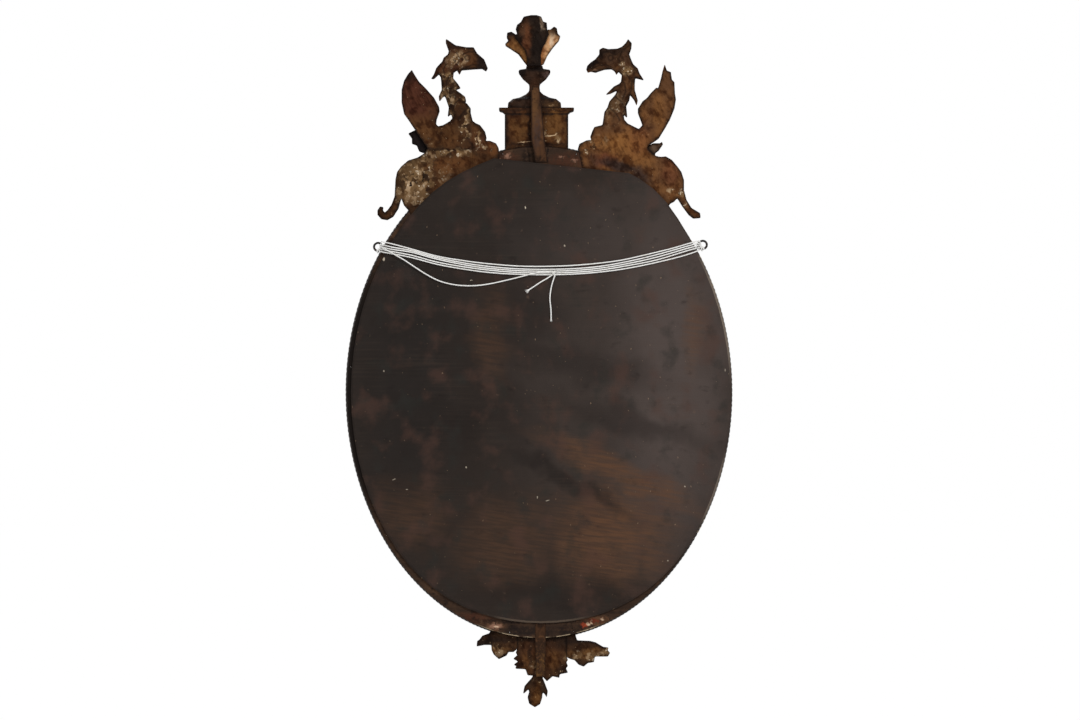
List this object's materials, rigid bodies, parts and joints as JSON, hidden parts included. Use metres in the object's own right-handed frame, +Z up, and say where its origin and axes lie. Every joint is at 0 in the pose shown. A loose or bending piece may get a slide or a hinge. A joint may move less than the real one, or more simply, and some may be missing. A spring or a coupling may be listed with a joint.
{
  "type": "girandole_mirror",
  "caption": "Oval girandole wall mirror with griffins, a leaf crest and a pendant, hung by a cord on its back",
  "frame": {"origin": "middle of the oval on the back face of the backboard, where the mirror lies against the wall", "axes": "Z up; +Y out of the back, towards the wall; the glass faces -Y; +X to the right as seen from the front"},
  "size_m": [0.774, 0.0838, 1.3809],
  "materials": {
    "stained_board": "dark stain, dry and matt",
    "frame_wood": "bare old pine under brown wash",
    "carved_wood": "worn bole and gesso over carved pine",
    "worn_gilding": "water gilding, worn",
    "ebonised_wood": "ebonised, satin",
    "silvered_glass": "polished, silvered on its back",
    "black_iron": "blackened iron wire",
    "cotton_cord": "white braided cotton"
  },
  "bodies": {
    "root": {"backboard": "stained_board", "cord_knot": "cotton_cord", "cord_lashing_left": "cotton_cord", "cord_lashing_right": "cotton_cord", "cord_slack": "cotton_cord", "cord_strand_1": "cotton_cord", "cord_strand_2": "cotton_cord", "cord_strand_3": "cotton_cord", "cord_strand_4": "cotton_cord", "cord_strand_5": "cotton_cord", "cord_tail_long": "cotton_cord", "cord_tail_short": "cotton_cord", "crest_baluster": "carved_wood", "crest_batten": "frame_wood", "crest_cornice": "carved_wood", "crest_plinth": "carved_wood", "ebonised_slip": "ebonised_wood", "finial_leaf_left": "carved_wood", "finial_leaf_middle": "carved_wood", "finial_leaf_right": "carved_wood", "frame_felloe_01": "frame_wood", "frame_felloe_02": "frame_wood", "frame_felloe_03": "frame_wood", "frame_felloe_04": "frame_wood", "frame_felloe_05": "frame_wood", "frame_felloe_06": "frame_wood", "frame_felloe_07": "frame_wood", "frame_felloe_08": "frame_wood", "frame_felloe_09": "frame_wood", "frame_felloe_10": "frame_wood", "front_moulding": "worn_gilding", "glazing_block_1": "frame_wood", "glazing_block_2": "frame_wood", "glazing_block_3": "frame_wood", "glazing_block_4": "frame_wood", "glazing_block_5": "frame_wood", "glazing_block_6": "frame_wood", "glazing_block_7": "frame_wood", "glazing_block_8": "frame_wood", "griffin_left_foreleg": "carved_wood", "griffin_left_haunch": "carved_wood", "griffin_left_hip_leaf": "carved_wood", "griffin_left_tail": "carved_wood", "griffin_left_torso": "carved_wood", "griffin_left_wing": "carved_wood", "griffin_right_foreleg": "carved_wood", "griffin_right_haunch": "carved_wood", "griffin_right_hip_leaf": "carved_wood", "griffin_right_tail": "carved_wood", "griffin_right_torso": "carved_wood", "mirror_plate": "silvered_glass", "pendant_batten": "frame_wood", "pendant_drop": "carved_wood", "pendant_leaf_left": "carved_wood", "pendant_leaf_right": "carved_wood", "pendant_shell": "carved_wood", "roped_edge": "worn_gilding", "screw_eye_left": "black_iron", "screw_eye_right": "black_iron"}
  },
  "joints": []
}
